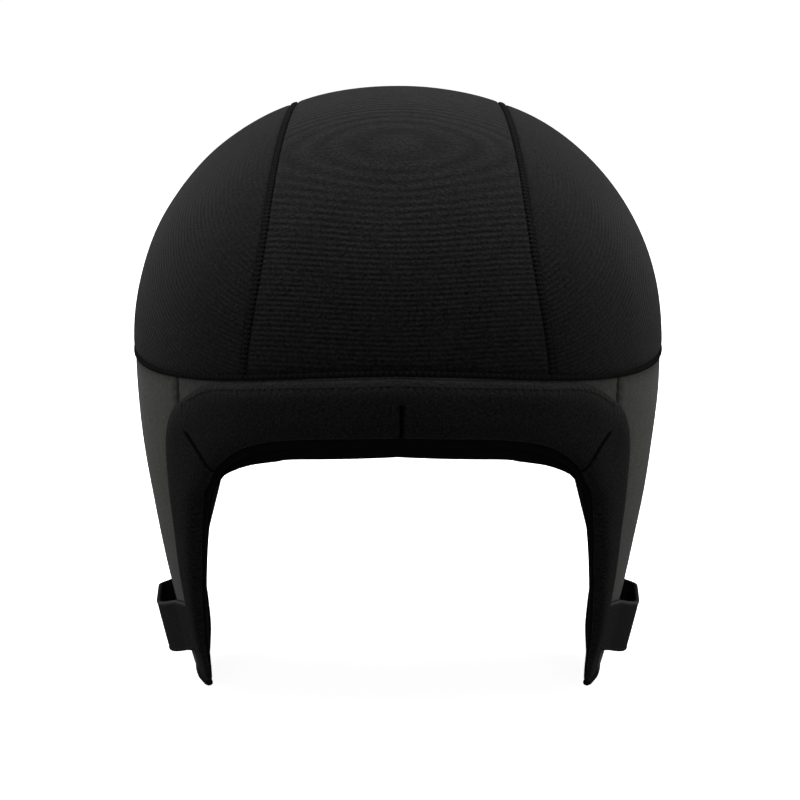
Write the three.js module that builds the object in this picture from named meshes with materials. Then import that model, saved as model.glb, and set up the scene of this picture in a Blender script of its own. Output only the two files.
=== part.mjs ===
// Soft water-sports helmet: foam core tiles between a sewn fabric shell and a lining,
// padded trim around the face opening, two flexible ear flaps and a strap loop on each.
//
// Units are millimetres, +Z is up, the face looks along -Y and the wearer's left is +X.
// The shape is worked out around the waist seam (z = 0, where the crown meets the walls),
// and the whole group is then lowered so that the origin lies on the crown pad's flat
// underside, where the helmet rests on the head.

import * as THREE from 'three';
import { LoftGeometry } from 'three/addons/geometries/LoftGeometry.js';

// ---- Driving dimensions ----
const HALF_BREADTH = 100;      // widest half breadth, at the waist seam
const FRONT_REACH = 118;       // waist seam to the front
const REAR_REACH = 122;        // waist seam to the rear
const CROWN_HEIGHT = 98;       // crown top above the waist seam
const PLAN_POWER = 2.3;        // squareness of the outline seen from above
const CROWN_POWER = 2.17;      // squareness of the crown seen from the front
const WALL_INSET = [0.8, 0.5, 0.5];   // walls lie inside the crown edge: side, front, rear
const WALL_TAPER = [0.0096, 0.008, 0.020]; // how fast the walls draw in: side, front, rear
const TAPER_POWER = 1.6;
const SEAT_HEIGHT = 75;        // crown pad underside above the waist seam

const SKIN = 2.0;              // shell fabric with its rubber backing
const LAYER_GAP = 0.8;         // clearance between sewn layers
const FOAM_THICK = 12;         // crown and wall foam
const FOAM_TIP = 1.3;          // foam at the flap tips
const FOAM_TAPER_TOP = -20;    // height where the wall foam starts to thin
const FOAM_TAPER_LENGTH = 70;
const LINING = 1.0;
const SEAM_HALF_GAP = 1.4;     // panel edge to seam line
const FOAM_HALF_GAP = 2.0;     // foam tile edge to seam line
const LINING_HALF_GAP = 0.8;   // lining panel edge to seam line
const SEAM_CORD = { half: 0.85, inner: -1.5, outer: 0.8 };

const WAIST_RISE = 8.4;        // waist seam lifts over the brow
const WAIST_RISE_ANGLE = 36;
const WAIST_SIDE_LIFT = 2.4;   // and a little over the ears
const WAIST_SIDE_ANGLE = 30;
const TRIM_THICK = 4.0;        // padded trim, measured out from the shell
const TRIM_TIP = 0.9;          // and at the flap tips
const TRIM_TAPER_STATION = 8;
const TRIM_BASE = 0.6;
const HEM_DEPTH = 2.6;
const HEM_DEEPENS = [60, 76];   // from skin deep to the full thickness, over these angles

// Ear flap flex line: a straight line that runs front to back
const FLEX_HEIGHT = -51.4;     // height where it passes y = 0
const FLEX_SLOPE = -0.1429;    // it drops towards the rear
const FLEX_HALF_GAP = 1.5;     // flap to flex line
const FLAP_REAR_ANGLE = 121;

// Strap loops
const WEB_WIDTH = 20;
const WEB_THICK = 1.4;
const LOOP_TABS = { front: [-48, -44], rear: [6, 13] }; // where the webbing lies on the flap
const LOOP_HEIGHT = -104;      // middle of the webbing's straight stretch
const LOOP_CLIMB = { front: 0.24, rear: 0.14 }; // how steeply it climbs towards its tabs
const LOOP_SLOPE = 0.245;      // the webbing leans out towards its top, as the flap does
const LOOP_FLAT = [[89.8, -25], [91.2, -4]]; // outer face of the straight stretch, x and y
const LOOP_BEND_STEPS = 6;
const TAB_GAP = 0.9;
const TACK_THICK = 0.7;

// Edge of the face opening and of the trim around it, as [angle from the front, height].
// Each row is one station from the middle of the brow round the cheek to the flap tip:
// trim outer edge, trim inner edge, the inner lip with its inset from the surface, and
// the edge of the foam and lining behind the lip.
const FACE_STATIONS = [
  { outer: [0, 7.0], inner: [0, -13.8], lip: [0, -23.2], core: [0, -10.5], inset: 9 },
  { outer: [16, 5.4], inner: [14.3, -14.8], lip: [18.5, -25.2], core: [14.3, -11.5], inset: 9 },
  { outer: [26.5, 3.4], inner: [22.8, -17.2], lip: [23.5, -26.8], core: [24, -13], inset: 9 },
  { outer: [34, 1.6], inner: [28.5, -21.2], lip: [29.2, -29], core: [31, -15], inset: 9 },
  { outer: [40.5, -4.8], inner: [32.2, -26], lip: [34.2, -31.7], core: [37, -18.5], inset: 8.8 },
  { outer: [45.4, -12], inner: [34.4, -30], lip: [36.6, -33.6], core: [41, -23], inset: 8.4 },
  { outer: [48, -24], inner: [36.4, -35.5], lip: [38.6, -37.2], core: [44.5, -30.5], inset: 8 },
  { outer: [48.5, -40], inner: [38.4, -40.6], lip: [40.2, -41.2], core: [46.5, -40.6], inset: 7.6 },
  { outer: [48.9, -56], inner: [40.3, -53], lip: [43.2, -53.5], core: [48.5, -53.5], inset: 7 },
  { outer: [49.8, -74], inner: [43.4, -73], lip: [48.2, -73], core: [52, -73], inset: 6.4 },
  { outer: [51.2, -90], inner: [46.3, -88.5], lip: [52.4, -88], core: [56, -88.5], inset: 5.8 },
  { outer: [53.4, -101], inner: [48.8, -101], lip: [56.2, -101.5], core: [60, -101], inset: 5.1 },
  { outer: [55.6, -110], inner: [50.4, -111.5], lip: [58.4, -112], core: [62.4, -110], inset: 4.4 },
  { outer: [59.4, -117.6], inner: [53, -119], lip: [60.2, -119.4], core: [64.6, -116.6],
    inset: 4 },
];
const MITRE_STATION = 5;       // brow trim meets cheek trim
const FLEX_STATION = 7;        // shell trim meets flap trim
// Bottom edge of the shell behind the face trim: round the flap, then the nape
const HEM_POINTS = [[56, -119.9], [62, -120.2], [70, -120.7], [84, -120.8], [93, -119],
  [100, -115], [104.5, -107], [108, -95.5], [111.5, -83.5], [116, -71.5], [121, -63.8],
  [125, -61], [131, -60.3], [145, -60.4], [180, -60.4]];

const COLORS = {
  crown: 0x1d1d1f, walls: 0x4a4a48, triangle: 0x2b2b2b, trim: 0x131314, lip: 0x070707,
  seam: 0x151516, foam: 0x2e2f31, lining: 0x1a1b1d, pad: 0x303236, web: 0x191919,
  tack: 0x0c0c0c,
};

const rad = THREE.MathUtils.degToRad;
const deg = THREE.MathUtils.radToDeg;
const { lerp, smoothstep } = THREE.MathUtils;

// ---- Reference surfaces ----
// A point is given by its place on the surface and h, its height out from the surface.

function planRadius(theta, side, front, rear) {
  const s = Math.abs(Math.sin(theta)) / side;
  const c = Math.abs(Math.cos(theta)) / (Math.cos(theta) > 0 ? front : rear);
  return (s ** PLAN_POWER + c ** PLAN_POWER) ** (-1 / PLAN_POWER);
}

// Wall: theta runs from the front (0) towards the wearer's left, in degrees
function wallBase(thetaDeg, z) {
  const theta = rad(thetaDeg);
  const draw = WALL_TAPER.map((k, i) => WALL_INSET[i] + k * Math.abs(z) ** TAPER_POWER);
  const r = planRadius(theta, HALF_BREADTH - draw[0], FRONT_REACH - draw[1], REAR_REACH - draw[2]);
  return new THREE.Vector3(r * Math.sin(theta), -r * Math.cos(theta), z);
}

function wallPoint(thetaDeg, z, h) {
  const step = 0.01;
  const around = wallBase(thetaDeg + step, z).sub(wallBase(thetaDeg - step, z));
  const up = wallBase(thetaDeg, z + step).sub(wallBase(thetaDeg, z - step));
  const normal = around.cross(up).normalize();
  return wallBase(thetaDeg, z).addScaledVector(normal, h);
}

// Crown: a point of the dome in a direction from the middle of the waist plane
function crownPoint(direction, h) {
  const d = direction.clone().normalize();
  const reach = d.y < 0 ? FRONT_REACH : REAR_REACH;
  const a = Math.abs(d.x) / HALF_BREADTH;
  const b = Math.abs(d.y) / reach;
  const plan = Math.max(a ** PLAN_POWER + b ** PLAN_POWER, 1e-9);
  const scale = (plan ** (CROWN_POWER / PLAN_POWER)
    + (d.z / CROWN_HEIGHT) ** CROWN_POWER) ** (-1 / CROWN_POWER);
  const planSlope = plan ** (CROWN_POWER / PLAN_POWER - 1);
  const normal = new THREE.Vector3(
    planSlope * a ** (PLAN_POWER - 1) / HALF_BREADTH * Math.sign(d.x),
    planSlope * b ** (PLAN_POWER - 1) / reach * Math.sign(d.y),
    (d.z / CROWN_HEIGHT) ** (CROWN_POWER - 1) / CROWN_HEIGHT,
  ).normalize();
  return d.multiplyScalar(scale).addScaledVector(normal, h);
}

// ---- Seam lines and edges ----

function waistHeight(thetaDeg) {
  const fromFront = Math.abs(thetaDeg > 180 ? thetaDeg - 360 : thetaDeg);
  return WAIST_RISE * Math.exp(-((fromFront / WAIST_RISE_ANGLE) ** 2))
    + WAIST_SIDE_LIFT * Math.exp(-(((fromFront - 90) / WAIST_SIDE_ANGLE) ** 2));
}

// Half width of the crown's middle panel at alpha, the angle up from the front waist
function seamSpread(alpha) {
  return 0.4305 + 0.074 * Math.abs(Math.cos(alpha)) ** 17;
}

const SEAM_FOOT_ANGLE = deg(Math.atan(seamSpread(0)));

// Angle alpha of the waist line at a spread lambda, at the front or at the rear
function waistAlpha(lambda, front, clearance) {
  const theta = deg(Math.atan(Math.abs(lambda)));
  const height = (front ? waistHeight(theta) : 0) + clearance;
  const reach = front ? FRONT_REACH : REAR_REACH;
  const y = ((Math.abs(lambda) / HALF_BREADTH) ** PLAN_POWER
    + (1 / reach) ** PLAN_POWER) ** (-1 / PLAN_POWER);
  return front ? Math.atan2(height, y) : Math.PI - Math.atan2(height, y);
}

const faceCurve = (edge) => new THREE.SplineCurve(
  FACE_STATIONS.map((s) => new THREE.Vector2(...s[edge])));
const faceCurves = { outer: faceCurve('outer'), inner: faceCurve('inner'), lip: faceCurve('lip'),
  core: faceCurve('core') };
const insetCurve = new THREE.SplineCurve(
  FACE_STATIONS.map((s, i) => new THREE.Vector2(i, s.inset)));
const LAST_STATION = FACE_STATIONS.length - 1;

const faceEdge = (edge, station) => faceCurves[edge].getPoint(station / LAST_STATION);

// Bottom edges as height over angle: along the face opening, then along the hem
const hemCurve = new THREE.SplineCurve(HEM_POINTS.map((p) => new THREE.Vector2(...p)));
const hemSamples = hemCurve.getPoints(96);

function bottomEdge(edge) {
  const face = faceCurves[edge].getPoints(104);
  const end = face[face.length - 1].x;
  const samples = [...face, ...hemSamples.filter((p) => p.x > end)];
  return (thetaDeg) => {
    const angle = Math.abs(thetaDeg > 180 ? 360 - thetaDeg : thetaDeg);
    const i = Math.max(1, samples.findIndex((p) => p.x >= angle));
    const t = (angle - samples[i - 1].x) / Math.max(samples[i].x - samples[i - 1].x, 1e-6);
    return lerp(samples[i - 1].y, samples[i].y, THREE.MathUtils.clamp(t, 0, 1));
  };
}

const shellHeight = bottomEdge('inner');
const coreHeight = bottomEdge('core');

// Height of the flex line's plane at an angle on the wall
function flexHeight(thetaDeg) {
  let z = FLEX_HEIGHT;
  for (let i = 0; i < 4; i++) z = FLEX_HEIGHT + FLEX_SLOPE * wallBase(thetaDeg, z).y;
  return z;
}

function foamThickness(z) {
  return lerp(FOAM_THICK, FOAM_TIP,
    smoothstep(FOAM_TAPER_TOP - z, 0, FOAM_TAPER_LENGTH));
}

const FOAM_TOP = -SKIN - LAYER_GAP;
const foamInner = (z) => FOAM_TOP - foamThickness(z);
const liningOuter = (z) => foamInner(z) - LAYER_GAP;
const liningInner = (z) => liningOuter(z) - LINING;

// ---- Solids ----

const helmet = new THREE.Group();
helmet.position.z = -SEAT_HEIGHT;

// Above zero when the section loops turn anticlockwise about the way the loft runs
function turnAlongLoft(sections) {
  const middle = (s) => s.reduce((sum, p) => sum.add(p), new THREE.Vector3()).divideScalar(s.length);
  let sum = 0;
  for (let i = 1; i < sections.length; i++) {
    const section = sections[i - 1];
    const centre = middle(section);
    const ahead = middle(sections[i]).sub(centre);
    section.forEach((p, k) => {
      const next = section[(k + 1) % section.length].clone().sub(centre);
      sum += p.clone().sub(centre).cross(next).dot(ahead);
    });
  }
  return sum;
}

// One closed solid lofted through closed section loops, capped or joined end to end
function addLoft(name, finish, sections, ring = false) {
  const turned = turnAlongLoft(sections) < 0 ? sections.map((s) => [...s].reverse()) : sections;
  const geometry = new LoftGeometry(turned, { capStart: !ring, capEnd: !ring });
  const material = new THREE.MeshStandardMaterial({
    color: COLORS[finish], roughness: finish === 'lip' ? 0.6 : 0.85, metalness: 0,
  });
  const mesh = new THREE.Mesh(geometry, material);
  mesh.name = name;
  helmet.add(mesh);
}

const steps = (from, to, count) => Array.from({ length: count + 1 },
  (_, i) => lerp(from, to, i / count));

// Angles for a wall patch: its two ends, the corners of the edge that it ends at, and even
// steps between them. Patches that lie over each other share their angles.
function patchAngles(from, to, edge) {
  if (to <= 0) return patchAngles(-to, -from, edge).map((angle) => -angle).reverse();
  const corners = [...HEM_POINTS.map(([angle]) => angle), ...FACE_STATIONS.map((s) => s[edge][0])];
  const even = steps(-180, 360, 540 / WALL_STEP);
  const angles = [from, to];
  for (const angle of [...corners.flatMap((a) => [a, -a, 360 - a]), ...even]) {
    const clear = angles.every((a) => Math.abs(a - angle) > 1);
    if (angle > from && angle < to && clear) angles.push(angle);
  }
  return angles.sort((a, b) => a - b);
}

// A sheet of even or changing thickness on the wall, between two heights
function wallPatch(name, finish, [from, to], edge, bottom, top, outer, inner, rows = 2) {
  const height = (h, z) => (typeof h === 'function' ? h(z) : h);
  const ring = to - from === 360;
  const sections = patchAngles(from, to, edge).map((theta) => {
    const levels = steps(bottom(theta), top(theta), rows);
    return [
      ...levels.map((z) => wallPoint(theta, z, height(outer, z))),
      ...levels.reverse().map((z) => wallPoint(theta, z, height(inner, z))),
    ];
  });
  if (ring) sections[sections.length - 1] = sections[0];
  addLoft(name, finish, sections, ring);
}

// Names and angle spans for the wearer's two sides: left is +X
const SIDES = [['left', 1], ['right', -1]];
const mirrored = ([from, to], side) => (side > 0 ? [from, to] : [-to, -from]);

const WALL_STEP = 6;           // most degrees between wall sections
const CROWN_STEPS = 18;        // sections from the front of the crown to the back
const CORNER_MARGIN = 0.018;   // share of a side panel left off at its pointed ends

// Middle strip of the crown, front to back between the two crown seams
function crownMiddle(name, finish, outer, inner, clearance) {
  const across = steps(-1, 1, 8);
  const sections = steps(0, 1, CROWN_STEPS).map((u) => {
    const foot = [true, false].map((front) => waistAlpha(seamSpread(0), front, clearance));
    const spread = seamSpread(lerp(foot[0], foot[1], u)) - clearance / CROWN_HEIGHT;
    const at = (v, h) => {
      const lambda = v * spread;
      const alpha = lerp(waistAlpha(lambda, true, clearance),
        waistAlpha(lambda, false, clearance), u);
      return crownPoint(new THREE.Vector3(lambda, -Math.cos(alpha), Math.sin(alpha)), h);
    };
    return [...across.map((v) => at(v, outer)),
      ...[...across].reverse().map((v) => at(v, inner))];
  });
  addLoft(name, finish, sections);
}

// One side of the crown, between its crown seam and the waist seam
function crownSide(name, finish, side, outer, inner, clearance) {
  const first = waistAlpha(seamSpread(0), true, clearance);
  const last = waistAlpha(seamSpread(0), false, clearance);
  const sections = steps(CORNER_MARGIN, 1 - CORNER_MARGIN, CROWN_STEPS).map((u) => {
    const alpha = lerp(first, last, u);
    const spread = seamSpread(alpha) + clearance / CROWN_HEIGHT;
    const top = new THREE.Vector3(spread, -Math.cos(alpha), Math.sin(alpha)).normalize();
    const theta = lerp(SEAM_FOOT_ANGLE, 180 - SEAM_FOOT_ANGLE, u);
    const foot = wallBase(theta, 0);
    foot.z = waistHeight(theta) + clearance;
    foot.normalize();
    const at = (v, h) => {
      const p = crownPoint(foot.clone().lerp(top, v), h);
      p.x *= side;
      return p;
    };
    const up = steps(0, 1, 5);
    return [...up.map((v) => at(v, outer)), ...up.reverse().map((v) => at(v, inner))];
  });
  addLoft(name, finish, sections);
}

// Raised cord along a crown seam
function crownSeam(name, side) {
  const first = waistAlpha(seamSpread(0), true, SEAM_HALF_GAP);
  const last = waistAlpha(seamSpread(0), false, SEAM_HALF_GAP);
  const { half, inner, outer } = SEAM_CORD;
  const profile = [[-half, inner], [half, inner], [half, 0], [0, outer], [-half, 0]];
  const sections = steps(first, last, CROWN_STEPS).map((alpha) => profile.map(([offset, h]) => {
    const spread = seamSpread(alpha) + offset / CROWN_HEIGHT;
    const direction = new THREE.Vector3(spread, -Math.cos(alpha), Math.sin(alpha));
    const p = crownPoint(direction, h);
    p.x *= side;
    return p;
  }));
  addLoft(name, 'seam', sections);
}

// Raised cord round the waist seam
function waistSeam(name) {
  const { half, inner, outer } = SEAM_CORD;
  const profile = [[-half, inner], [half, inner], [half, 0.1], [0, outer], [-half, 0.1]];
  const sections = steps(0, 360, 48).map((theta) => profile.map(([offset, h]) => (
    wallPoint(theta, waistHeight(theta) + offset, h + WALL_INSET[1]))));
  sections[48] = sections[0];
  addLoft(name, 'seam', sections, true);
}

// Raised cord down a wall seam at one angle
function wallSeam(name, thetaDeg, bottom, top) {
  const { half, inner, outer } = SEAM_CORD;
  const slant = half / HALF_BREADTH;
  const profile = [[-slant, inner], [slant, inner], [slant, 0], [0, outer], [-slant, 0]];
  const sections = steps(bottom, top, 8).map((z) => profile.map(([offset, h]) => (
    wallPoint(thetaDeg + deg(offset), z, h))));
  addLoft(name, 'seam', sections);
}

// Sections across the face trim at some stations: the padded band, or the lip inside it.
// shift moves the first and last section up or down to clear the flex line.
function trimSections(stations, side, shift, points) {
  return stations.map((station, i) => {
    const move = (i === 0 ? shift[0] : 0) + (i === stations.length - 1 ? shift[1] : 0);
    return points(station).map(([theta, z, h]) => wallPoint(side * theta, z + move, h));
  });
}

const TRIM_PROFILE = [[0, 0], [0.02, 0.5], [0.14, 0.9], [0.35, 1], [0.62, 1], [0.86, 0.9],
  [0.98, 0.5], [1, 0], [0.66, 0], [0.33, 0]];

function trimPoints(station) {
  const outer = faceEdge('outer', station);
  const inner = faceEdge('inner', station);
  const thick = lerp(TRIM_THICK, TRIM_TIP,
    smoothstep(station, TRIM_TAPER_STATION, LAST_STATION));
  return TRIM_PROFILE.map(([across, rise]) => {
    const p = outer.clone().lerp(inner, across);
    return [p.x, p.y, TRIM_BASE + rise * thick];
  });
}

// The lip turns from under the shell's edge in to the lining
function lipPoints(station) {
  const [edge, lip, core] = ['inner', 'lip', 'core'].map((e) => faceEdge(e, station));
  const inset = insetCurve.getPoint(station / LAST_STATION).y;
  const depth = liningInner(edge.y);
  const back = core.addScaledVector(
    edge.clone().sub(faceEdge('outer', station)).normalize(), 0.8);
  return [[edge, FOAM_TOP], [edge.clone().lerp(lip, 0.5), lerp(FOAM_TOP, -inset, 0.35)],
    [lip, -inset], [lip.clone().lerp(back, 0.6), depth], [back, depth], [back, FOAM_TOP]]
    .map(([p, h]) => [p.x, p.y, h]);
}

// A rolled binding under the hem: skin deep at the flap tip, as thick as the shell further back
function hem(name, [from, to]) {
  const sections = patchAngles(from, to, 'inner').map((theta) => {
    const z = shellHeight(theta) - 1.5 * LAYER_GAP;
    const slope = (shellHeight(theta + 0.5) - shellHeight(theta - 0.5))
      / wallBase(theta + 0.5, z).distanceTo(wallBase(theta - 0.5, z));
    const run = Math.sqrt(1 + slope * slope);
    const drop = HEM_DEPTH / run;
    const turn = deg(HEM_DEPTH * slope / run / HALF_BREADTH) * Math.sign(180 - Math.abs(theta));
    const depth = lerp(FOAM_TOP, liningInner(z),
      smoothstep(Math.abs(theta), ...HEM_DEEPENS));
    return [[0, 0, 0], [0.7, 0.7, -0.4], [1, 1, -0.3 * -depth], [1, 1, 0.7 * depth],
      [0.7, 0.7, depth + 0.4], [0, 0, depth]]
      .map(([t, d, h]) => wallPoint(theta + t * turn, z - d * drop, h));
  });
  addLoft(name, 'lip', sections);
}

// ---- Crown ----
const crownFoamInner = FOAM_TOP - FOAM_THICK;
const crownLiningOuter = crownFoamInner - LAYER_GAP;
const crownLiningInner = crownLiningOuter - LINING;
crownMiddle('crown_centre_panel', 'crown', 0, -SKIN, SEAM_HALF_GAP);
crownMiddle('foam_crown_centre', 'foam', FOAM_TOP, crownFoamInner, FOAM_HALF_GAP);
crownMiddle('lining_crown_centre', 'lining', crownLiningOuter, crownLiningInner, LINING_HALF_GAP);
for (const [label, side] of SIDES) {
  crownSide(`crown_side_panel_${label}`, 'crown', side, 0, -SKIN, SEAM_HALF_GAP);
  crownSide(`foam_crown_${label}`, 'foam', side, FOAM_TOP, crownFoamInner, FOAM_HALF_GAP);
  crownSide(`lining_crown_${label}`, 'lining', side, crownLiningOuter, crownLiningInner,
    LINING_HALF_GAP);
  crownSeam(`crown_seam_${label}`, side);
}
waistSeam('waist_seam');

// Comfort pad under the crown: flat below, where it meets the head, and domed above
const PAD_POLAR = rad(21);
const padTop = crownLiningInner - 3 * LAYER_GAP;
const crownRing = (polar) => steps(0, 2 * Math.PI, 24).slice(1).map((theta) => crownPoint(
  new THREE.Vector3(Math.sin(polar) * Math.sin(theta), -Math.sin(polar) * Math.cos(theta),
    Math.cos(polar)), padTop));
const padRing = (scale, z) => crownRing(PAD_POLAR).map((p) => (
  new THREE.Vector3(p.x * scale, p.y * scale, z)));
addLoft('crown_pad', 'pad', [
  padRing(0.92, SEAT_HEIGHT),
  padRing(1, SEAT_HEIGHT + 1.2),
  ...steps(PAD_POLAR, rad(2), 4).map(crownRing),
]);

// ---- Walls ----
const BROW_SPAN = 25.5;        // brow panel to front side panel
const DART_ANGLE = 44;         // front side panel to side panel
const REAR_SEAM_ANGLE = 130;   // side panel to nape panel
const EDGE_CLEARANCE = 0.3;
const seamTrim = deg(SEAM_HALF_GAP / FRONT_REACH);
const waistEdge = (theta) => waistHeight(theta) - SEAM_HALF_GAP;
const shellEdge = (theta) => shellHeight(theta) + EDGE_CLEARANCE;
const coreEdge = (theta) => coreHeight(theta) + EDGE_CLEARANCE;
// Above the flap a wall stops short of the flex line
const fixedEdge = (edge, height) => (theta) => {
  const angle = Math.abs(theta > 180 ? theta - 360 : theta);
  const overFlap = angle > faceEdge(edge, FLEX_STATION).x && angle <= FLAP_REAR_ANGLE;
  return overFlap ? Math.max(flexHeight(theta) + FLEX_HALF_GAP, height(theta)) : height(theta);
};
const shellFixed = fixedEdge('inner', shellEdge);
const coreFixed = fixedEdge('core', coreEdge);

wallPatch('brow_panel', 'triangle', [-BROW_SPAN, BROW_SPAN], 'inner', shellEdge, waistEdge,
  0, -SKIN);
wallPatch('nape_panel', 'walls', [REAR_SEAM_ANGLE + seamTrim, 360 - REAR_SEAM_ANGLE - seamTrim],
  'inner', shellEdge, waistEdge, 0, -SKIN);
for (const [label, side] of SIDES) {
  const span = (from, to) => mirrored([from, to], side);
  wallPatch(`side_front_panel_${label}`, 'triangle', span(BROW_SPAN + 0.6, DART_ANGLE - 0.3),
    'inner', shellFixed, waistEdge, 0, -SKIN);
  wallPatch(`side_panel_${label}`, 'walls', span(DART_ANGLE + 0.3, REAR_SEAM_ANGLE - seamTrim),
    'inner', shellFixed, waistEdge, 0, -SKIN);
  wallSeam(`rear_seam_${label}`, side * REAR_SEAM_ANGLE,
    shellEdge(REAR_SEAM_ANGLE), -SEAM_HALF_GAP);
}

// Wall foam: a brow tile, a tile on each side and a nape tile
const FOAM_BROW_ANGLE = 46;
const foamTop = (theta) => waistHeight(theta) - FOAM_HALF_GAP;
wallPatch('foam_brow', 'foam', [-FOAM_BROW_ANGLE, FOAM_BROW_ANGLE], 'core', coreFixed, foamTop,
  FOAM_TOP, foamInner);
wallPatch('foam_nape', 'foam', [REAR_SEAM_ANGLE + 1, 359 - REAR_SEAM_ANGLE], 'core', coreEdge,
  foamTop, FOAM_TOP, foamInner);
for (const [label, side] of SIDES) {
  wallPatch(`foam_side_${label}`, 'foam',
    mirrored([FOAM_BROW_ANGLE + 1, REAR_SEAM_ANGLE - 1], side), 'core', coreFixed, foamTop,
    FOAM_TOP, foamInner);
}
wallPatch('lining_band', 'lining', [0, 360], 'core', coreFixed, foamTop, liningOuter, liningInner);

// Comfort pads inside the walls
const padOuter = (z) => liningInner(z) - LAYER_GAP;
const padInner = (z) => padOuter(z) - 5;
wallPatch('nape_pad', 'pad', [152, 208], 'core', () => -50, () => -14, padOuter, padInner);
for (const [label, side] of SIDES) {
  wallPatch(`side_pad_${label}`, 'pad', mirrored([74, 106], side), 'core', () => -38, () => -8,
    padOuter, padInner);
}

// ---- Ear flaps, below the flex line ----
const FLAP_FRONT_ANGLE = { shell: 39.6, core: 47.4 };
const flapTop = (theta) => flexHeight(theta) - FLEX_HALF_GAP;
for (const [label, side] of SIDES) {
  const shell = mirrored([FLAP_FRONT_ANGLE.shell, FLAP_REAR_ANGLE - 0.8], side);
  const core = mirrored([FLAP_FRONT_ANGLE.core, FLAP_REAR_ANGLE - 2.2], side);
  wallPatch(`flap_panel_${label}`, 'walls', shell, 'inner', shellEdge, flapTop, 0, -SKIN);
  wallPatch(`foam_flap_${label}`, 'foam', core, 'core', coreEdge, flapTop, FOAM_TOP, foamInner, 4);
  wallPatch(`lining_flap_${label}`, 'lining', core, 'core', coreEdge, flapTop,
    liningOuter, liningInner, 4);
}

// ---- Trim, lip and hem ----
const NOTCH = 0.06;            // half width of the brow notch and of a mitre, in stations
for (const [label, side] of SIDES) {
  const trim = (name, stations, shift) => addLoft(`${name}_${label}`, 'trim',
    trimSections(stations, side, shift, trimPoints));
  trim('brow_trim', [NOTCH, 0.5, 1, 1.5, 2, 2.5, 3, 4, MITRE_STATION - NOTCH], [0, 0]);
  trim('cheek_trim', [MITRE_STATION + NOTCH, 6, FLEX_STATION], [0, FLEX_HALF_GAP]);
  trim('flap_trim', steps(FLEX_STATION, LAST_STATION, LAST_STATION - FLEX_STATION),
    [-FLEX_HALF_GAP, 0]);
  addLoft(`flap_lip_${label}`, 'lip', trimSections(
    steps(FLEX_STATION, LAST_STATION, LAST_STATION - FLEX_STATION), side,
    [-FLEX_HALF_GAP, 0], lipPoints));
  hem(`flap_hem_${label}`, mirrored([54.6, FLAP_REAR_ANGLE - 1.5], side));
}
const lipHalf = (side) => trimSections(steps(0, FLEX_STATION, FLEX_STATION), side,
  [0, FLEX_HALF_GAP], lipPoints);
addLoft('face_lip', 'lip', [...lipHalf(-1).reverse(), ...lipHalf(1).slice(1)]);
hem('nape_hem', [FLAP_REAR_ANGLE + 1.5, 358.5 - FLAP_REAR_ANGLE]);

// ---- Strap loops: the front end is sewn in under the trim, the rear end is tacked down ----
// The webbing's width runs straight up the flap's slope, so its faces are ruled.
const webAcross = new THREE.Vector3(LOOP_SLOPE, 0, 1).normalize();

function wallAtY(y, z) {
  let low = 20;
  let high = 160;
  for (let i = 0; i < 40; i++) {
    const middle = (low + high) / 2;
    if (wallBase(middle, z).y < y) low = middle;
    else high = middle;
  }
  return wallBase(low, z);
}

// Middle line of the webbing seen from above: tab, rise, straight stretch, fall, tab
function loopLine() {
  const lift = new THREE.Vector3(TAB_GAP + WEB_THICK / 2, 0, 0);
  const height = (y) => LOOP_HEIGHT
    + LOOP_CLIMB.front * Math.max(0, LOOP_FLAT[0][1] - y)
    + LOOP_CLIMB.rear * Math.max(0, y - LOOP_FLAT[1][1]);
  const onFlap = (y) => wallAtY(y, height(y)).add(lift);
  const front = steps(...LOOP_TABS.front, 1).map(onFlap);
  const rear = steps(...LOOP_TABS.rear, 3).map(onFlap);
  const [start, end] = LOOP_FLAT.map(([x, y]) => (
    new THREE.Vector3(x - WEB_THICK / 2, y, LOOP_HEIGHT)));
  const along = end.clone().sub(start).normalize();
  const bend = (from, ahead, to, behind) => new THREE.CubicBezierCurve3(from,
    from.clone().add(ahead), to.clone().add(behind), to).getPoints(LOOP_BEND_STEPS);
  const leave = front[1].clone().sub(front[0]).setLength(5);
  const arrive = rear[0].clone().sub(rear[1]).setLength(5);
  const rise = bend(front[1], leave, start, along.clone().multiplyScalar(-9));
  const fall = bend(end, along.clone().multiplyScalar(6), rear[0], arrive);
  return [front[0], ...rise, ...fall, ...rear.slice(1)];
}

for (const [label, side] of SIDES) {
  const line = loopLine();
  const normals = line.map((p, i) => {
    const before = line[Math.max(0, i - 1)];
    const after = line[Math.min(line.length - 1, i + 1)];
    return after.clone().sub(before).cross(webAcross).normalize();
  });
  const flat = 1 + LOOP_BEND_STEPS;
  normals[flat] = line[flat + 1].clone().sub(line[flat]).cross(webAcross).normalize();
  normals[flat + 1] = normals[flat];
  const corner = (i, out, across) => {
    const p = line[i].clone().addScaledVector(normals[i], out).addScaledVector(webAcross, across);
    p.x *= side;
    return p;
  };
  const box = (i, low, high, half) => [corner(i, low, -half), corner(i, high, -half),
    corner(i, high, half), corner(i, low, half)];
  addLoft(`strap_loop_${label}`, 'web',
    line.map((_, i) => box(i, -WEB_THICK / 2, WEB_THICK / 2, WEB_WIDTH / 2)));
  const tackLow = WEB_THICK / 2 + 0.3;
  addLoft(`loop_tack_${label}`, 'tack', [line.length - 3, line.length - 2].map((i) => (
    box(i, tackLow, tackLow + TACK_THICK, WEB_WIDTH / 2 - 1))));
}

export default helmet;
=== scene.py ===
"""Looks of a soft water-sports helmet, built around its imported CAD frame.

Shapes are worked out in millimetres around the waist seam (z = 0), where the crown meets
the walls, and lowered by SEAT_HEIGHT into the frame, in metres. The face looks along -Y
and the wearer's left is +X.
"""

import math

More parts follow.
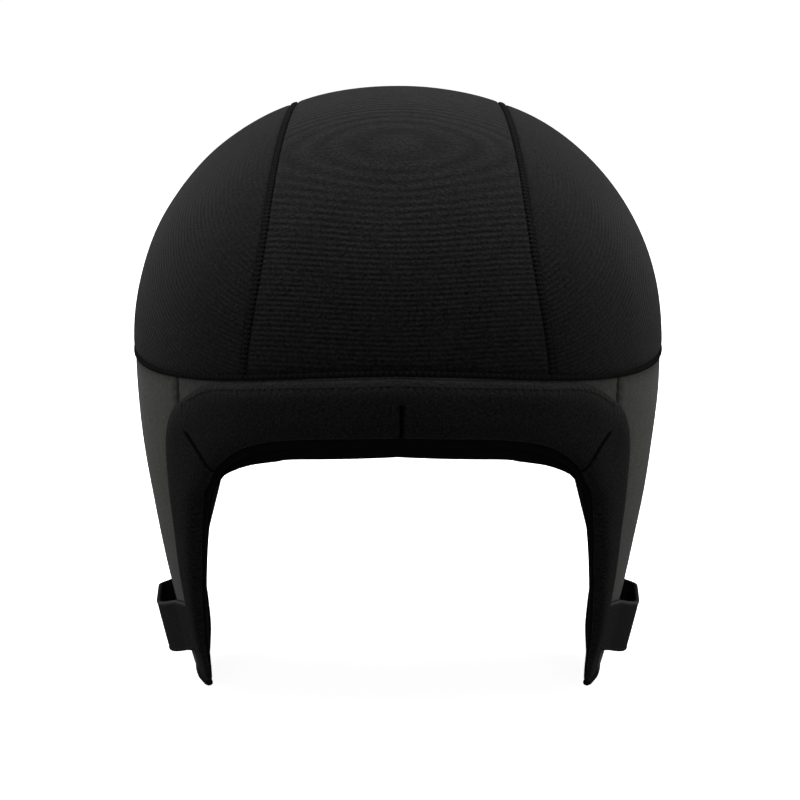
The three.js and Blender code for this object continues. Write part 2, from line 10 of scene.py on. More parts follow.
import bmesh
import bpy
import numpy as np
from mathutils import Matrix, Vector


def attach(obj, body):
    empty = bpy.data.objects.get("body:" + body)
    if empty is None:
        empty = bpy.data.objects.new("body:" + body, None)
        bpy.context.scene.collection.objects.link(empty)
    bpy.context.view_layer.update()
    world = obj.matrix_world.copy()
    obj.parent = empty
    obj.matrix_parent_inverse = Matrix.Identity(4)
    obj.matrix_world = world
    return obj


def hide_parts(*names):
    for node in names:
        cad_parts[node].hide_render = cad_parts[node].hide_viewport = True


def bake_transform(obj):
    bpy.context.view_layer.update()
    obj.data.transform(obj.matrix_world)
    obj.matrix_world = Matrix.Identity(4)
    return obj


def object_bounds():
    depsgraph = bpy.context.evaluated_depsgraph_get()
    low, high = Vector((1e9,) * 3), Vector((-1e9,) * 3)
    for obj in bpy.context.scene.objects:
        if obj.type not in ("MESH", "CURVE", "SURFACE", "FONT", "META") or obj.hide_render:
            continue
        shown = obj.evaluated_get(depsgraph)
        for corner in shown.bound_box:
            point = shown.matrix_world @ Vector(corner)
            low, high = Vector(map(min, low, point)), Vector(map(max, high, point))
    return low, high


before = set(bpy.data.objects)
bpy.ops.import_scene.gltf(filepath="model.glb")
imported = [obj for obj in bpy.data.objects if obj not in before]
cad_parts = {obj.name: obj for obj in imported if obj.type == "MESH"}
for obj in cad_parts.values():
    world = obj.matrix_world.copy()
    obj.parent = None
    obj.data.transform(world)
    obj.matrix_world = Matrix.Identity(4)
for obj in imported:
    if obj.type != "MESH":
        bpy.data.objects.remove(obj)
CAD_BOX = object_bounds()

# ---- Driving dimensions, as in the CAD ----
HALF_BREADTH, FRONT_REACH, REAR_REACH, CROWN_HEIGHT = 100.0, 118.0, 122.0, 98.0
PLAN_POWER, CROWN_POWER = 2.3, 2.17
WALL_INSET = (0.8, 0.5, 0.5)
WALL_TAPER = (0.0096, 0.008, 0.020)
TAPER_POWER = 1.6
SEAT_HEIGHT = 75.0
SKIN, LAYER_GAP, LINING = 2.0, 0.8, 1.0
FOAM_THICK, FOAM_TIP, FOAM_TAPER_TOP, FOAM_TAPER_LENGTH = 12.0, 1.3, -20.0, 70.0
FOAM_TOP = -SKIN - LAYER_GAP
CROWN_LINING = FOAM_TOP - FOAM_THICK - LAYER_GAP
WAIST_RISE, WAIST_RISE_ANGLE = 8.4, 36.0
WAIST_SIDE_LIFT, WAIST_SIDE_ANGLE = 2.4, 30.0
TRIM_RISE, TRIM_TIP_RISE, TRIM_FOOT = 4.6, 1.5, -0.5
TRIM_TAPER_STATION = 8
HEM_DEPTH = 2.6
HEM_START = 53.6
HEM_DEEPENS = (58.0, 69.0)           # the hem goes from under the skin to under the lining
LIP_LIFT = 0.8                       # the soft lip springs back up over the brow
TIP_WIDER = 0.9                      # degrees that the trim laps over the flap's front edge
BROW_SPAN, DART_ANGLE, REAR_SEAM_ANGLE, FLAP_REAR_ANGLE = 25.5, 44.0, 130.0, 121.0
MITRE_STATION, MITRE_START = 4.75, 0.42
MITRE_LEAN = (-2.5, 1.5)             # how far its outer and inner ends lie off that station
NOTCH_PLACE = 1.2                    # the brow notch is a little off the middle
NOTCH_TOP = 0.40                     # the brow notch runs from here to the trim's inner edge
NOTCH_WIDTH, MITRE_WIDTH = 0.9, 0.6
WEB_WIDTH, WEB_THICK, TAB_GAP = 20.0, 1.4, 0.9
LOOP_HEIGHT, LOOP_SLOPE = -104.0, 0.245
LOOP_FRONT, LOOP_REAR = -44.0, (6.0, 13.0)
LOOP_CLIMB = (0.24, 0.14)            # how steeply it climbs towards its front and rear tabs
LOOP_FLAT = ((89.8, -25.0), (91.2, -4.0))
LOOP_UNDER_TRIM = (-63.0, -56.5)     # front end of the webbing, at its top and bottom
SIDES = (("left", 1), ("right", -1))

# Edges of the face opening as (angle from the front, height), from the brow's middle
# round the cheek to the flap tip: trim outer edge, trim inner edge, lip, lining edge
OUTER = ((0, 7.0), (16, 5.4), (26.5, 3.4), (34, 1.6), (40.5, -4.8), (45.4, -12), (48, -24),
         (48.5, -40), (48.9, -56), (49.8, -74), (51.2, -90), (53.4, -101), (55.6, -110),
         (59.4, -117.6))
INNER = ((0, -13.8), (14.3, -14.8), (22.8, -17.2), (28.5, -21.2), (32.2, -26), (34.4, -30),
         (36.4, -35.5), (38.4, -40.6), (40.3, -53), (43.4, -73), (46.3, -88.5), (48.8, -101),
         (50.4, -111.5), (53, -119))
LIP = ((0, -23.2), (18.5, -25.2), (23.5, -26.8), (29.2, -29), (34.2, -31.7), (36.6, -33.6),
       (38.6, -37.2), (40.2, -41.2), (43.2, -53.5), (48.2, -73), (52.4, -88), (56.2, -101.5),
       (58.4, -112), (60.2, -119.4))
CORE = ((0, -10.5), (14.3, -11.5), (24, -13), (31, -15), (37, -18.5), (41, -23), (44.5, -30.5),
        (46.5, -40.6), (48.5, -53.5), (52, -73), (56, -88.5), (60, -101), (62.4, -110),
        (64.6, -116.6))
LIP_INSET = (9, 9, 9, 9, 8.8, 8.4, 8, 7.6, 7, 6.4, 5.8, 5.1, 4.4, 4)
HEM = ((56, -119.9), (62, -120.2), (70, -120.7), (84, -120.8), (93, -119), (100, -115),
       (104.5, -107), (108, -95.5), (111.5, -83.5), (116, -71.5), (121, -63.8), (125, -61),
       (131, -60.3), (145, -60.4), (180, -60.4))
LAST_STATION = len(OUTER) - 1


# ---- Reference surfaces, on arrays of points ----

def plan_radius(theta, side, front, rear):
    c = np.cos(theta)
    reach = np.where(c > 0, front, rear)
    return ((np.abs(np.sin(theta)) / side) ** PLAN_POWER
            + (np.abs(c) / reach) ** PLAN_POWER) ** (-1 / PLAN_POWER)


def wall_base(angle, z):
    theta = np.radians(angle)
    draw = [inset + taper * np.abs(z) ** TAPER_POWER for inset, taper in zip(WALL_INSET, WALL_TAPER)]
    r = plan_radius(theta, HALF_BREADTH - draw[0], FRONT_REACH - draw[1], REAR_REACH - draw[2])
    return np.stack([r * np.sin(theta), -r * np.cos(theta), z + 0 * r], axis=-1)


def unit(v):
    return v / np.maximum(np.linalg.norm(v, axis=-1, keepdims=True), 1e-9)


def wall(angle, z):
    """Points of the wall and their outward normals."""
    angle, z = np.broadcast_arrays(np.asarray(angle, float), np.asarray(z, float))
    step = 0.01
    around = wall_base(angle + step, z) - wall_base(angle - step, z)
    up = wall_base(angle, z + step) - wall_base(angle, z - step)
    return wall_base(angle, z), unit(np.cross(around, up))


def crown(direction):
    """Points of the dome in directions from the middle of the waist plane, and normals."""
    d = unit(direction)
    reach = np.where(d[..., 1] < 0, FRONT_REACH, REAR_REACH)
    a, b = np.abs(d[..., 0]) / HALF_BREADTH, np.abs(d[..., 1]) / reach
    c = np.maximum(d[..., 2], 0) / CROWN_HEIGHT
    plan = np.maximum(a ** PLAN_POWER + b ** PLAN_POWER, 1e-9)
    scale = (plan ** (CROWN_POWER / PLAN_POWER) + c ** CROWN_POWER) ** (-1 / CROWN_POWER)
    slope = plan ** (CROWN_POWER / PLAN_POWER - 1)
    normal = np.stack([slope * a ** (PLAN_POWER - 1) / HALF_BREADTH * np.sign(d[..., 0]),
                       slope * b ** (PLAN_POWER - 1) / reach * np.sign(d[..., 1]),
                       c ** (CROWN_POWER - 1) / CROWN_HEIGHT], axis=-1)
    return d * scale[..., None], unit(normal)


def waist_height(angle):
    from_front = np.abs((angle + 180) % 360 - 180)
    return (WAIST_RISE * np.exp(-(from_front / WAIST_RISE_ANGLE) ** 2)
            + WAIST_SIDE_LIFT * np.exp(-((from_front - 90) / WAIST_SIDE_ANGLE) ** 2))


def seam_spread(alpha):
    return 0.4305 + 0.074 * np.abs(np.cos(alpha)) ** 17


def waist_alpha(spread, front, clearance):
    """Angle up from the front of the waist line at a spread, at the front or the rear."""
    angle = np.degrees(np.arctan(np.abs(spread)))
    height = (waist_height(angle) if front else 0) + clearance
    reach = FRONT_REACH if front else REAR_REACH
    y = ((np.abs(spread) / HALF_BREADTH) ** PLAN_POWER
         + (1 / reach) ** PLAN_POWER) ** (-1 / PLAN_POWER)
    alpha = np.arctan2(height, y)
    return alpha if front else math.pi - alpha


SEAM_FOOT_ANGLE = math.degrees(math.atan(seam_spread(0)))


def spline(points, places):
    """Uniform Catmull-Rom curve through points, at positions from 0 to 1."""
    p = np.asarray(points, float).reshape(len(points), -1)
    t = np.asarray(places, float) * (len(p) - 1)
    i = np.clip(np.floor(t).astype(int), 0, len(p) - 2)
    w = (t - i)[..., None]
    last = len(p) - 1
    p0, p1, p2, p3 = (p[np.clip(i + k, 0, last)] for k in (-1, 0, 1, 2))
    v0, v1 = (p2 - p0) / 2, (p3 - p1) / 2
    return ((2 * p1 - 2 * p2 + v0 + v1) * w ** 3 + (-3 * p1 + 3 * p2 - 2 * v0 - v1) * w ** 2
            + v0 * w + p1)


def edge(points, station):
    return spline(points, np.asarray(station, float) / LAST_STATION)


def bottom_edge(points):
    """Height of the shell's lower edge over the angle: along the face, then the hem."""
    face = spline(points, np.linspace(0, 1, 400))
    hem = spline(HEM, np.linspace(0, 1, 400))
    line = np.concatenate([face, hem[hem[:, 0] > face[-1, 0]]])
    return lambda angle: np.interp(np.abs((angle + 180) % 360 - 180), line[:, 0], line[:, 1])


shell_height = bottom_edge(INNER)
core_height = bottom_edge(CORE)


def smooth(t):
    t = np.clip(t, 0, 1)
    return t * t * (3 - 2 * t)


def foam_thinning(z):
    return smooth((FOAM_TAPER_TOP - z) / FOAM_TAPER_LENGTH)


def layer_gap(z):
    """The layers are pressed closer together where the foam is thin."""
    return LAYER_GAP * (1 - 0.75 * foam_thinning(z))


def foam_inner(z):
    return -SKIN - layer_gap(z) - (FOAM_THICK + (FOAM_TIP - FOAM_THICK) * foam_thinning(z))


# ---- Mesh making ----

UV_NAME = "weave"


def make_object(name, verts, faces, corner_uv, shade=None):
    """A mesh object from points in millimetres, with a weave map in millimetres."""
    mesh = bpy.data.meshes.new(name)
    placed = (np.asarray(verts, float) - (0, 0, SEAT_HEIGHT)) / 1000
    mesh.from_pydata(placed.tolist(), [], [f.tolist() for f in faces])
    layer = mesh.uv_layers.new(name=UV_NAME)
    layer.data.foreach_set("uv", np.concatenate([uv.reshape(-1, 2) for uv in corner_uv])
                           .astype(np.float32).ravel())
    # Per-point colour factor that carries painted shade and painted highlights; it is 1 where nothing is
    # painted.
    attribute = mesh.attributes.new("shade", "FLOAT", "POINT")
    values = np.ones(len(placed)) if shade is None else shade
    attribute.data.foreach_set("value", np.asarray(values, np.float32))
    mesh.update()
    obj = bpy.data.objects.new(name, mesh)
    bpy.context.scene.collection.objects.link(obj)
    bm = bmesh.new()
    bm.from_mesh(mesh)
    bmesh.ops.recalc_face_normals(bm, faces=bm.faces)
    bm.to_mesh(mesh)
    bm.free()
    mesh.polygons.foreach_set("use_smooth", [True] * len(mesh.polygons))
    return obj


def grid_quads(index):
    return np.stack([index[:-1, :-1], index[:-1, 1:], index[1:, 1:], index[1:, :-1]],
                    axis=-1).reshape(-1, 4)


def run_length(points, axis):
    """Distance along a grid of points from its first row or column."""
    step = np.linalg.norm(np.diff(points, axis=axis), axis=-1)
    start = np.zeros_like(np.take(step, [0], axis=axis))
    return np.concatenate([start, np.cumsum(step, axis=axis)], axis=axis)


def border_distance(points):
    runs = [run_length(points, 0), run_length(points, 1)]
    return np.minimum(np.minimum(runs[0], runs[0][-1:] - runs[0]),
                      np.minimum(runs[1], runs[1][:, -1:] - runs[1]))


def sheet_solid(name, outer, inner, uv, shade=None):
    """A closed sheet between an outer and an inner grid of points."""
    rows, cols = outer.shape[:2]
    count = rows * cols
    index = np.arange(count).reshape(rows, cols)
    rim = np.concatenate([index[0, :-1], index[:-1, -1], index[-1, :0:-1], index[:0:-1, 0]])
    ahead = np.roll(rim, -1)
    top = grid_quads(index)
    bottom = top[:, ::-1] + count
    sides = np.stack([rim, rim + count, ahead + count, ahead], axis=-1)
    faces = np.concatenate([top, bottom, sides])
    flat = uv.reshape(-1, 2)
    both = np.concatenate([flat, flat])
    tone = None if shade is None else np.concatenate([shade.ravel(), shade.ravel()])
    return make_object(name, np.concatenate([outer.reshape(-1, 3), inner.reshape(-1, 3)]),
                       faces, [both[faces]], tone)


def tube_solid(name, sections, ring=False, shade=None, flat=False):
    """A closed solid through closed section loops, capped by fans or joined end to end.

    Its cloth runs round and along it, or lies flat over it as seen from above.
    """
    rows, cols = sections.shape[:2]
    index = np.arange(rows * cols).reshape(rows, cols)
    wrapped = np.concatenate([index, index[:, :1]], axis=1)
    points = np.concatenate([sections, sections[:, :1]], axis=1)
    across, along = run_length(points, 1), run_length(points, 0)
    along = np.broadcast_to(along.mean(axis=1, keepdims=True), across.shape)
    uv = points[..., :2].copy() if flat else np.stack([across, along], axis=-1)
    if ring:
        wrapped = np.concatenate([wrapped, wrapped[:1]])
        closing = uv[-1:] + (0, np.linalg.norm(sections[0] - sections[-1], axis=-1).mean())
        uv = np.concatenate([uv, closing])
    quads = grid_quads(wrapped)
    corner = grid_quads(np.arange(uv.shape[0] * uv.shape[1]).reshape(uv.shape[:2]))
    faces, corner_uv = [quads], [uv.reshape(-1, 2)[corner]]
    verts = [sections.reshape(-1, 3)]
    tones = [np.ones(rows * cols) if shade is None else shade.ravel()]
    if not ring:
        for row, end in ((0, 0), (rows - 1, 1)):
            centre = rows * cols + end
            loop = index[row]
            fan = np.stack([loop, np.roll(loop, -1), np.full(cols, centre)], axis=-1)
            faces.append(fan)
            corner_uv.append(np.repeat(uv[row, :-1][:, None], 3, axis=1))
            verts.append(sections[row].mean(axis=0, keepdims=True))
            tones.append(tones[0].reshape(rows, cols)[row].mean(keepdims=True))
    return make_object(name, np.concatenate(verts), [f for block in faces for f in block],
                       [c for block in corner_uv for c in block], np.concatenate(tones))


def ripple(points, size, reach):
    """Slow uneven swell of hand-sewn cloth: size high, about reach from crest to crest."""
    x, y, z = (points[..., k] * (2 * math.pi / reach) for k in range(3))
    return size * (np.sin(x + 1.3 * np.sin(0.7 * y)) * np.sin(0.9 * y + 0.5)
                   + np.sin(1.1 * z + 0.6 * x + 1.7) * 0.7) / 1.7


def panel(name, points, normals, uv, low, high, puff=0.35, drop=0.9, pucker=0.12, swell=0.22):
    """A sewn panel: it puffs out from its edges, sinks into its seams and puckers there; painted shade
    darkens it towards its edges.
    """
    inside = border_distance(points)
    run = run_length(points, 0) + run_length(points, 1)
    rise = (puff * (1 - np.exp(-inside / 9)) - drop * np.exp(-(inside / 1.2) ** 2)
            + pucker * np.sin(run * 2 * math.pi / 3.4) * np.exp(-inside / 2.2)
            + ripple(points, swell, 46) * (1 - np.exp(-inside / 12)))
    rim = np.exp(-(inside / 0.5) ** 2)
    top, base = high + rise, low + 0 * rise
    base = base + (top - base) * 0.45 * rim
    # Painted shade: the colour darkens towards the panel's edges, where it sinks into its seams.
    shade = 1 - 0.25 * np.exp(-inside / 1.6)
    return sheet_solid(name, points + normals * top[..., None], points + normals * base[..., None],
                       uv, shade)


def metric_uv(points):
    return np.stack([run_length(points, 1), run_length(points, 0)], axis=-1)


def spread_out(count):
    """Positions from 0 to 1, closer together towards both ends."""
    return (1 - np.cos(math.pi * np.linspace(0, 1, count))) / 2


# ---- Materials ----

class Nodes:
    """Short names for building one material's nodes."""

    def __init__(self, name):
        self.material = bpy.data.materials.new(name)
        self.material.use_nodes = True
        self.tree = self.material.node_tree
        self.shader = self.tree.nodes["Principled BSDF"]

    def add(self, kind, **values):
        node = self.tree.nodes.new(kind)
        for key, value in values.items():
            setattr(node, key, value)
        return node

    def feed(self, socket, value):
        if hasattr(value, "links"):
            self.tree.links.new(value, socket)
        else:
            socket.default_value = value

    def math(self, operation, *values, clamp=False):
        node = self.add("ShaderNodeMath", operation=operation, use_clamp=clamp)
        for socket, value in zip(node.inputs, values):
            self.feed(socket, value)
        return node.outputs[0]

    def weave(self):
        node = self.add("ShaderNodeUVMap", uv_map=UV_NAME)
        split = self.add("ShaderNodeSeparateXYZ")
        self.feed(split.inputs[0], node.outputs[0])
        return node.outputs[0], split.outputs[0], split.outputs[1]

    def noise(self, vector, scale, detail=2.0, rough=0.5, stretch=(1, 1, 1)):
        place = self.add("ShaderNodeMapping")
        self.feed(place.inputs["Vector"], vector)
        place.inputs["Scale"].default_value = stretch
        node = self.add("ShaderNodeTexNoise")
        self.feed(node.inputs["Vector"], place.outputs[0])
        node.inputs["Scale"].default_value = scale
        node.inputs["Detail"].default_value = detail
        node.inputs["Roughness"].default_value = rough
        return node.outputs[0]

    def wave(self, coordinate, pitch, shift=0.0):
        """A smooth wave from 0 to 1 with one crest every pitch along a coordinate."""
        turns = self.math("MULTIPLY_ADD", coordinate, 2 * math.pi / pitch, shift)
        return self.math("MULTIPLY_ADD", self.math("SINE", turns), 0.5, 0.5)

    def span(self, value, low, high):
        """Carries 0 to 1 over to low to high."""
        return self.math("MULTIPLY_ADD", value, high - low, low)


def fabric(name, color, pattern, roughness=0.9, sheen=0.0, contrast=0.3, grain=0.3, streak=0.0,
           depth=0.25, solid=False):
    """Cloth: pattern draws its threads, grain its fluff, streak its brushed nap.

    The fluff lies in the weave map, or through the solid where the map is stretched.
    """
    n = Nodes(name)
    vector, u, v = n.weave()
    if solid:
        scale = n.add("ShaderNodeVectorMath", operation="SCALE")
        n.feed(scale.inputs[0], n.add("ShaderNodeTexCoord").outputs["Object"])
        scale.inputs["Scale"].default_value = 1000
        vector = scale.outputs[0]
    threads = pattern(n, vector, u, v)
    fluff = n.noise(vector, 1.0, 3.0, 0.7)
    fluff = n.math("MULTIPLY_ADD", n.math("SUBTRACT", fluff, 0.5), 2.4, 0.5, clamp=True)
    patch = n.noise(vector, 0.045, 2.0, 0.5)
    nap = n.noise(vector, 0.6, 2.0, 0.6, stretch=(1, 0.12, 1))
    tone = n.math("MULTIPLY", n.span(threads, 1 - contrast, 1 + contrast),
                  n.span(fluff, 1 - grain, 1 + grain))
    tone = n.math("MULTIPLY", tone, n.span(patch, 0.86, 1.14))
    tone = n.math("MULTIPLY", tone, n.span(nap, 1 - streak, 1 + streak))
    # The shade attribute scales the colour: painted shade in seams, slits and stitch pinches, and painted
    # highlights on edges.
    shade = n.add("ShaderNodeAttribute", attribute_name="shade")
    tone = n.math("MULTIPLY", tone, shade.outputs["Fac"])
    mix = n.add("ShaderNodeVectorMath", operation="SCALE")
    mix.inputs[0].default_value = color
    n.feed(mix.inputs["Scale"], tone)
    n.feed(n.shader.inputs["Base Color"], mix.outputs[0])
    n.feed(n.shader.inputs["Roughness"], n.span(fluff, roughness - 0.08, min(1, roughness + 0.06)))
    height = n.math("MULTIPLY_ADD", fluff, 0.35, threads)
    bump = n.add("ShaderNodeBump")
    bump.inputs["Strength"].default_value = 1.0
    bump.inputs["Distance"].default_value = depth / 1000
    n.feed(bump.inputs["Height"], height)
    n.feed(n.shader.inputs["Normal"], bump.outputs[0])
    n.shader.inputs["Sheen Weight"].default_value = sheen
    n.shader.inputs["Sheen Roughness"].default_value = 0.45
    n.shader.inputs["Specular IOR Level"].default_value = 0.04
    return n.material


def ribbed(rib_pitch, reach=None):
    """Level ribs, broken up by the knit's loops and fading out over u where reach is given."""
    def draw(n, vector, u, v):
        wobble = n.noise(vector, 0.35, 2.0, 0.6)
        loops = n.noise(vector, 1.6, 2.0, 0.7, stretch=(0.45, 1, 1))
        rib = n.wave(n.math("MULTIPLY_ADD", wobble, 0.35 * rib_pitch, v), rib_pitch)
        fade = n.math("MULTIPLY", n.span(n.noise(vector, 0.16, 3.0, 0.7), -0.7, 2.3), 1.0, clamp=True)
        if reach:
            out = n.math("MULTIPLY_ADD", u, -1.0 / reach, 1.3, clamp=True)
            fade = n.math("MULTIPLY", fade, out)
        rib = n.math("MULTIPLY_ADD", n.math("SUBTRACT", rib, 0.5), fade, 0.5)
        return n.math("MULTIPLY_ADD", loops, 0.45, n.math("MULTIPLY", rib, 0.55))
    return draw


def speckled(n, vector, u, v):
    """Tight knit with light and dark loops, salt and pepper."""
    cells = n.add("ShaderNodeTexVoronoi")
    n.feed(cells.inputs["Vector"], vector)
    cells.inputs["Scale"].default_value = 1.25
    specks = n.noise(vector, 1.1, 3.0, 0.8)
    sharp = n.math("MULTIPLY_ADD", n.math("SUBTRACT", specks, 0.5), 2.6, 0.5, clamp=True)
    return n.math("MULTIPLY_ADD", n.math("SUBTRACT", 1.0, cells.outputs["Distance"]), 0.35,
                  n.math("MULTIPLY", sharp, 0.65))


def woven(pitch_u, pitch_v):
    """Plain weave: over and under in turn."""
    def draw(n, vector, u, v):
        warp, weft = n.wave(u, pitch_u), n.wave(v, pitch_v)
        checks = n.math("MULTIPLY", n.math("SUBTRACT", warp, 0.5), n.math("SUBTRACT", weft, 0.5))
        return n.math("MULTIPLY_ADD", checks, 2.0, 0.5)
    return draw


def twisted(pitch):
    """Thread laid slanting round a cord."""
    def draw(n, vector, u, v):
        return n.wave(n.math("MULTIPLY_ADD", u, 0.9, v), pitch)
    return draw


def napped(n, vector, u, v):
    """Smooth sheet with a fine nap."""
    return n.noise(vector, 2.2, 3.0, 0.75)


def celled(n, vector, u, v):
    """Closed cells of a foam."""
    cells = n.add("ShaderNodeTexVoronoi")
    n.feed(cells.inputs["Vector"], vector)
    cells.inputs["Scale"].default_value = 0.9
    return cells.outputs["Distance"]


def meshed(n, vector, u, v):
    """Open spacer knit: round holes in rows."""
    holes = n.math("MULTIPLY", n.wave(u, 2.2), n.wave(n.math("MULTIPLY_ADD", u, 0.5, v), 2.2))
    return n.math("SUBTRACT", 1.0, n.math("POWER", holes, 2.0))


FINISHES = {
    "crown_fabric": fabric("crown_knit", (0.0080, 0.0080, 0.0082), ribbed(1.0), sheen=0.05,
                           contrast=0.45, grain=0.9, depth=0.34, solid=True),
    "shell_neoprene": fabric("neoprene", (0.056, 0.0555, 0.052), napped, sheen=0.10,
                             contrast=0.16, grain=0.5, streak=0.3, depth=0.10),
    "front_fabric": fabric("front_neoprene", (0.055, 0.0545, 0.051), napped, sheen=0.05,
                           contrast=0.14, grain=0.45, streak=0.2, depth=0.12),
    "trim_knit": fabric("trim_knit", (0.0096, 0.0096, 0.0097), speckled, sheen=0.03,
                        contrast=0.55, grain=0.7, depth=0.32),
    "edge_binding": fabric("binding", (0.0032, 0.0032, 0.0032), woven(0.7, 0.7), roughness=0.7,
                           contrast=0.25, grain=0.25, depth=0.10),
    "seam_thread": fabric("seam_thread", (0.0062, 0.0062, 0.0062), twisted(1.1), contrast=0.5,
                          grain=0.35, depth=0.25),
    "foam": fabric("foam", (0.032, 0.034, 0.037), celled, roughness=0.8, contrast=0.25,
                   grain=0.15, depth=0.25),
    "lining": fabric("lining", (0.0035, 0.0036, 0.0038), woven(1.3, 0.9), sheen=0.02,
                     contrast=0.35, grain=0.3, depth=0.15),
    "pad_fabric": fabric("pad_mesh", (0.020, 0.022, 0.026), meshed, sheen=0.05, contrast=0.45,
                         grain=0.25, depth=0.35),
    "webbing": fabric("webbing", (0.0150, 0.0150, 0.0152), woven(2.0, 1.4), roughness=0.75,
                      contrast=0.45, grain=0.25, depth=0.22),
    "tack_thread": fabric("tack_thread", (0.006, 0.006, 0.006), twisted(0.6), roughness=0.7,
                          contrast=0.5, grain=0.3, depth=0.15),
}
SIDE_KNIT = fabric("crown_side_knit", (0.0068, 0.0068, 0.0070), ribbed(1.0, reach=105), sheen=0.05,
                   contrast=0.45, grain=0.9, depth=0.34, solid=True)
BRIGHT_THREAD = fabric("topstitch", (0.020, 0.020, 0.019), twisted(0.5), roughness=0.7,
                       contrast=0.5, grain=0.3, depth=0.1)


# ---- Placing ----


def dress(obj, slot, body, nodes=(), material=None):
    """Gives a piece its finish and hides the CAD nodes that it stands for; it is hung under its body, or
    has its placing baked in where the body is a bend.
    """
    obj.data.materials.clear()
    obj.data.materials.append(material or FINISHES[slot])
    if nodes:
        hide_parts(*nodes)
    if body.startswith("bend_"):
        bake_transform(obj)
    else:
        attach(obj, body)


# ---- Crown ----

RIB_LEVEL, RIB_RUN = 1.65, 1.055     # how the ribs follow height, and length over the dome
RIB_TILT = math.radians(10.3)


def rib_count(points, run):
    """Number of ribs passed: level bands low down, closing into rings near the top."""
    height = points[..., 1] * math.sin(RIB_TILT) + points[..., 2] * math.cos(RIB_TILT)
    return RIB_LEVEL * height - RIB_RUN * run


def crown_middle(rows, cols, clearance):
    """Grid over the crown's middle strip, front to back."""
    u, v = np.linspace(0, 1, rows)[:, None], np.linspace(-1, 1, cols)[None]
    feet = [waist_alpha(seam_spread(0), front, clearance) for front in (True, False)]
    spread = seam_spread(feet[0] + (feet[1] - feet[0]) * u) - clearance / CROWN_HEIGHT
    lam = v * spread
    front, rear = waist_alpha(lam, True, clearance), waist_alpha(lam, False, clearance)
    alpha = front + (rear - front) * u
    return crown(np.stack([lam, -np.cos(alpha), np.sin(alpha)], axis=-1))


def crown_side(side, rows, cols, clearance, margin=0.004):
    """Grid over one side of the crown, from the waist seam up to the crown seam."""
    u, v = np.linspace(margin, 1 - margin, rows), np.linspace(0, 1, cols)[None, :, None]
    first = waist_alpha(seam_spread(0), True, clearance)
    last = waist_alpha(seam_spread(0), False, clearance)
    alpha = first + (last - first) * u
    spread = seam_spread(alpha) + clearance / CROWN_HEIGHT
    top = unit(np.stack([spread, -np.cos(alpha), np.sin(alpha)], axis=-1))
    angle = SEAM_FOOT_ANGLE + (180 - 2 * SEAM_FOOT_ANGLE) * u
    foot = wall_base(angle, np.zeros_like(angle))
    foot[:, 2] = waist_height(angle) + clearance
    foot = unit(foot)
    points, normals = crown(foot[:, None] + (top - foot)[:, None] * v)
    return points * (side, 1, 1), normals * (side, 1, 1)


def middle_ribs(points):
    across, run = run_length(points, 1), run_length(points, 0)
    return np.stack([across - across[:, -1:] / 2, rib_count(points, run)], axis=-1)


def side_ribs(points):
    """Ribs that slant down towards the crown seam as they come forward."""
    height = run_length(points, 1)
    slant = 0.75 * height - 0.5 * (points[..., 1] + FRONT_REACH)
    return np.stack([height, slant / 1.5], axis=-1)


def build_crown():
    points, normals = crown_middle(260, 110, 0.3)
    dress(panel("crown_centre", points, normals, middle_ribs(points), -SKIN, 0.0), "crown_fabric",
          "shell", ["crown_centre_panel"])
    points, normals = crown_middle(90, 40, 1.6)
    dress(panel("foam_tile_crown_centre", points, normals, metric_uv(points),
                FOAM_TOP - FOAM_THICK, FOAM_TOP, puff=0, pucker=0), "foam", "shell",
          ["foam_crown_centre"])
    points, normals = crown_middle(120, 60, 0.25)
    dress(panel("lining_crown_centre_cloth", points, normals, metric_uv(points), CROWN_LINING - LINING,
                CROWN_LINING, puff=0, pucker=0.1), "lining", "shell", ["lining_crown_centre"])
    for label, side in SIDES:
        points, normals = crown_side(side, 220, 110, 0.3)
        dress(panel(f"crown_side_{label}", points, normals, side_ribs(points), -SKIN, 0.0),
              "crown_fabric", "shell", [f"crown_side_panel_{label}"], SIDE_KNIT)
        points, normals = crown_side(side, 80, 40, 1.6, margin=0.015)
        dress(panel(f"foam_tile_crown_{label}", points, normals, metric_uv(points),
                    FOAM_TOP - FOAM_THICK, FOAM_TOP, puff=0, pucker=0), "foam", "shell",
              [f"foam_crown_{label}"])
        points, normals = crown_side(side, 110, 60, 0.25)
        dress(panel(f"lining_crown_{label}_cloth", points, normals, metric_uv(points),
                    CROWN_LINING - LINING, CROWN_LINING, puff=0, pucker=0.1), "lining", "shell",
              [f"lining_crown_{label}"])


# ---- Seams ----

def cord(name, points, normals, half=0.95, low=-1.3, high=0.4, pitch=2.1, bead=0.22, ring=False):
    """An overlocked seam: a raised cord whose threads swell and pinch it along its length."""
    ahead = np.roll(points, -1, axis=0) - np.roll(points, 1, axis=0)
    if not ring:
        ahead[0], ahead[-1] = points[1] - points[0], points[-1] - points[-2]
    across = unit(np.cross(unit(ahead), normals))
    run = run_length(points, 0)
    if ring:
        pitch = run[-1] / round(run[-1] / pitch)
    stitch = np.abs(np.sin(run * math.pi / pitch))[:, None]
    uneven = ripple(points, 0.07, 17)[:, None]
    turn = np.linspace(0, 2 * math.pi, 14, endpoint=False)[None]
    width = half * (1.08 - bead + bead * stitch + uneven)
    top = high * (0.8 + 0.3 * stitch + uneven)
    rise = np.where(np.sin(turn) > 0, np.sin(turn) * top, -np.sin(turn) * low)
    sections = (points[:, None] + across[:, None] * (np.cos(turn) * width)[..., None]
                + normals[:, None] * rise[..., None])
    # Painted shade: the cord's colour darkens at the pinches between its stitches.
    shade = np.broadcast_to(0.3 + 1.05 * stitch, sections.shape[:2])
    return tube_solid(name, sections, ring=ring, shade=shade)


